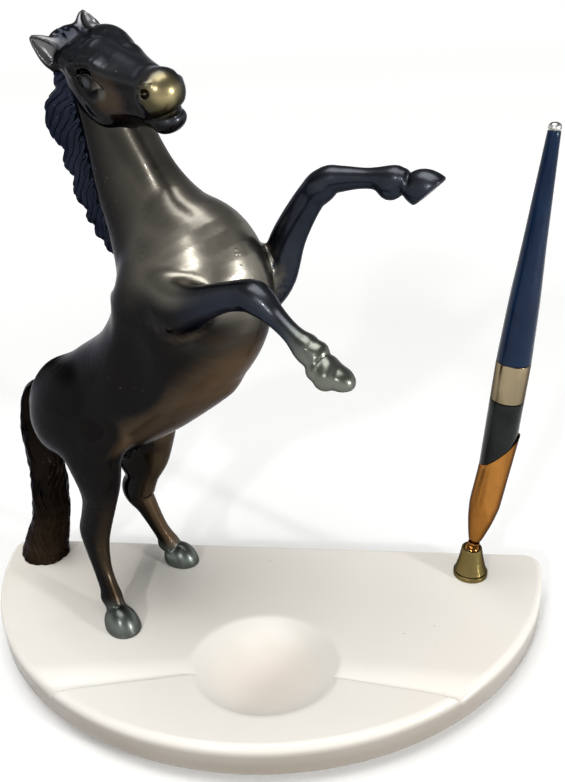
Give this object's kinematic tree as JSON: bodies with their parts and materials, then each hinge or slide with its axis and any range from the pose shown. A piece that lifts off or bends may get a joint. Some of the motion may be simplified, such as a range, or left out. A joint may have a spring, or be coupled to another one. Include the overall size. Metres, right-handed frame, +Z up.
{
  "type": "desk pen set",
  "caption": "Half-round stone desk base with a rearing horse figure, a round dish, two pen grooves and a tapered pen in a swivelling trumpet socket.",
  "frame": {"origin": "on the desk under the middle of the base, at the felt's underside", "axes": "+X right along the straight back edge, +Y away from the writer, +Z up"},
  "size_m": [0.2096, 0.098, 0.2123],
  "materials": {
    "onyx": "polished white-cream onyx",
    "felt": "green felt",
    "bronze": "dark bronze patina, polished",
    "bronze_dark": "dark bronze patina, textured hair",
    "socket_brass": "lacquered brass, slightly worn",
    "gold_plate": "polished gold plate",
    "steel": "bright steel",
    "black_plastic": "gloss black",
    "navy_plastic": "gloss blue-black"
  },
  "bodies": {
    "base": {"onyx_base": "onyx", "felt_pad": "felt", "horse_body": "bronze", "horse_head": "bronze", "horse_mane": "bronze_dark", "near_foreleg": "bronze", "far_foreleg": "bronze", "near_hind_leg": "bronze", "far_hind_leg": "bronze", "horse_tail": "bronze_dark", "near_hoof_screw": "steel", "near_hoof_screw_washer": "steel", "far_hoof_screw": "steel", "far_hoof_screw_washer": "steel", "tail_screw": "steel", "tail_screw_washer": "steel", "socket_bolt": "steel", "socket_bolt_washer": "steel", "socket_bell": "socket_brass", "seat_spring": "steel"},
    "swivel": {"ball_seat": "steel"},
    "trumpet": {"swivel_ball": "gold_plate", "trumpet_shell": "gold_plate", "trumpet_liner": "black_plastic"},
    "pen": {"pen_barrel": "navy_plastic", "pen_finial": "gold_plate", "pen_trim_band": "gold_plate", "pen_grip_section": "black_plastic", "refill_tube": "steel", "refill_point": "steel"}
  },
  "joints": [
    {"name": "socket_pan", "type": "hinge", "parent": "base", "child": "swivel", "pos_m": [0.0776, 0.0355, 0.0265], "axis": [0, 0, 1], "continuous": true},
    {"name": "socket_tilt", "type": "hinge", "parent": "swivel", "child": "trumpet", "pos_m": [0.0776, 0.0355, 0.0265], "axis": [0, 1, 0], "range_deg": [-33, 15]},
    {"name": "pen_lift", "type": "slide", "parent": "trumpet", "child": "pen", "axis": [0.0802, 0, 0.9968], "range_m": [0, 0.06]}
  ]
}
